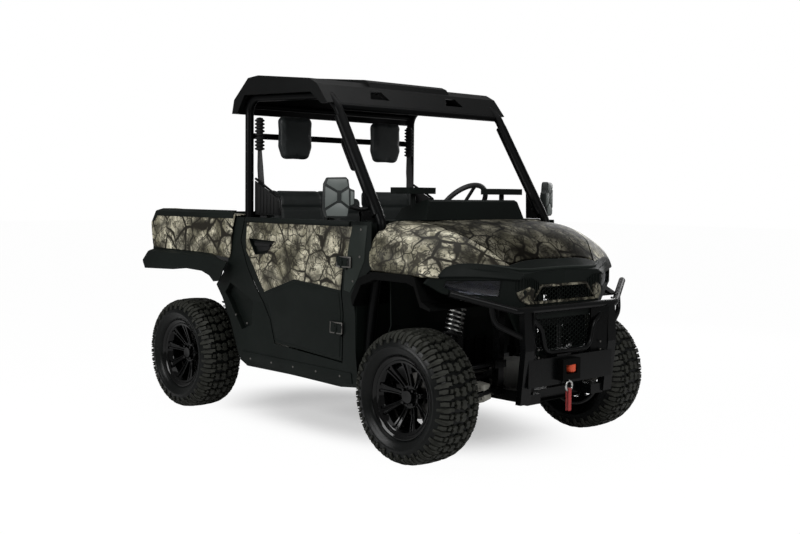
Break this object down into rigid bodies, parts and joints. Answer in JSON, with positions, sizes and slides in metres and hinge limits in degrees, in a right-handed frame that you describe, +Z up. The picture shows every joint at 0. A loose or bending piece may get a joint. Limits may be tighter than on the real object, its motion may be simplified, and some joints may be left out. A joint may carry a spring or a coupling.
{
  "type": "side by side utility vehicle",
  "caption": "Open-cab side by side utility vehicle with lugged wheels, doors, hood, front bumper with winch and a tilting cargo bed.",
  "frame": {"origin": "on the ground under the middle of the length and width", "axes": "-Y forward, +X to the driver's left, +Z up"},
  "size_m": [1.7798, 2.87, 1.9598],
  "materials": {
    "frame_steel": "satin black",
    "black_plastic": "moulded, fine grain",
    "printed_plastic": "printed woodland pattern, semi-gloss",
    "bare_metal": "cast",
    "spring_steel": "bright",
    "black_rubber": "matte",
    "muffler_steel": "dull",
    "lamp_lens": "clear lens",
    "red_webbing": "woven",
    "seat_vinyl": "grained vinyl",
    "belt_webbing": "woven",
    "grey_plastic": "moulded",
    "grip_rubber": "grained",
    "red_lens": "clear red",
    "tyre": "moulded rubber",
    "black_gloss": "gloss black"
  },
  "bodies": {
    "chassis": {"chassis_frame": "frame_steel", "frame_towers": "frame_steel", "hitch_receiver": "frame_steel", "roll_cage": "frame_steel", "skid_plate": "black_plastic", "suspension_arms": "frame_steel", "shock_absorbers": "frame_steel", "springs": "spring_steel", "half_shafts": "black_rubber", "powertrain": "bare_metal", "muffler": "muffler_steel", "side_panels": "black_plastic", "front_fenders": "printed_plastic", "nose_panel": "black_plastic", "headlights": "lamp_lens", "grille_surround": "printed_plastic", "grille_mesh": "black_plastic", "bumper": "frame_steel", "winch": "frame_steel", "winch_hook": "bare_metal", "pull_strap": "red_webbing", "arch_liners": "black_plastic", "cab_tub": "black_plastic", "dash": "black_plastic", "steering_column": "frame_steel", "pedals": "bare_metal", "seat_cushions": "seat_vinyl", "seat_backs": "seat_vinyl", "headrests": "seat_vinyl", "seat_belts": "belt_webbing", "roof": "black_plastic", "mirrors": "grey_plastic"},
    "front_knuckle_left": {"knuckle_left": "bare_metal"},
    "front_wheel_left": {"tyre_front_left": "tyre", "rim_front_left": "black_gloss"},
    "rear_wheel_left": {"tyre_rear_left": "tyre", "rim_rear_left": "black_gloss"},
    "door_left": {"door_left": "printed_plastic"},
    "front_knuckle_right": {"knuckle_right": "bare_metal"},
    "front_wheel_right": {"tyre_front_right": "tyre", "rim_front_right": "black_gloss"},
    "rear_wheel_right": {"tyre_rear_right": "tyre", "rim_rear_right": "black_gloss"},
    "door_right": {"door_right": "printed_plastic"},
    "steering_rack": {"steering_rack": "bare_metal"},
    "steering_wheel": {"steering_wheel": "grip_rubber"},
    "hood": {"hood": "printed_plastic"},
    "cargo_bed": {"bed_tub": "black_plastic", "bed_sides": "printed_plastic", "bed_flares": "black_plastic", "tail_lamps": "red_lens"},
    "tailgate": {"tailgate": "black_plastic"}
  },
  "joints": [
    {"name": "right_steer", "type": "hinge", "parent": "chassis", "child": "front_knuckle_right", "pos_m": [-0.6255, -0.975, 0.328], "axis": [0, 0, 1], "range_deg": [-25, 25]},
    {"name": "left_steer", "type": "hinge", "parent": "chassis", "child": "front_knuckle_left", "pos_m": [0.6255, -0.975, 0.328], "axis": [0, 0, 1], "range_deg": [-25, 25]},
    {"name": "rack_slide", "type": "slide", "parent": "chassis", "child": "steering_rack", "axis": [1, 0, 0], "range_m": [-0.0394, 0.0394]},
    {"name": "steering_wheel_turn", "type": "hinge", "parent": "chassis", "child": "steering_wheel", "pos_m": [0.33998, -0.31494, 1.22798], "axis": [0, 0.766, 0.6428], "range_deg": [-250, 250]},
    {"name": "front_wheel_left_spin", "type": "hinge", "parent": "front_knuckle_left", "child": "front_wheel_left", "pos_m": [0.6605, -0.975, 0.328], "axis": [1, 0, 0], "continuous": true},
    {"name": "rear_wheel_left_spin", "type": "hinge", "parent": "chassis", "child": "rear_wheel_left", "pos_m": [0.6605, 0.955, 0.328], "axis": [1, 0, 0], "continuous": true},
    {"name": "front_wheel_right_spin", "type": "hinge", "parent": "front_knuckle_right", "child": "front_wheel_right", "pos_m": [-0.6605, -0.975, 0.328], "axis": [1, 0, 0], "continuous": true},
    {"name": "rear_wheel_right_spin", "type": "hinge", "parent": "chassis", "child": "rear_wheel_right", "pos_m": [-0.6605, 0.955, 0.328], "axis": [1, 0, 0], "continuous": true},
    {"name": "door_left_hinge", "type": "hinge", "parent": "chassis", "child": "door_left", "pos_m": [0.732, -0.5, 0.95], "axis": [-0.0597, 0.1848, -0.981], "range_deg": [0, 68]},
    {"name": "door_right_hinge", "type": "hinge", "parent": "chassis", "child": "door_right", "pos_m": [-0.732, -0.5, 0.95], "axis": [-0.0597, -0.1848, 0.981], "range_deg": [0, 68]},
    {"name": "hood_hinge", "type": "hinge", "parent": "chassis", "child": "hood", "pos_m": [0, -0.771, 1.146], "axis": [-1, 0, 0], "range_deg": [0, 55]},
    {"name": "bed_tilt", "type": "hinge", "parent": "chassis", "child": "cargo_bed", "pos_m": [0, 1.175, 0.8], "axis": [-1, 0, 0], "range_deg": [0, 45]},
    {"name": "tailgate_hinge", "type": "hinge", "parent": "cargo_bed", "child": "tailgate", "pos_m": [0, 1.31701, 0.866], "axis": [-1, 0, 0], "range_deg": [0, 90]}
  ],
  "couplings": [
    {"joint": "left_steer", "follows": "right_steer", "ratio": 1},
    {"joint": "rack_slide", "follows": "right_steer", "m_per_rad": -0.089106},
    {"joint": "steering_wheel_turn", "follows": "right_steer", "ratio": 10}
  ]
}
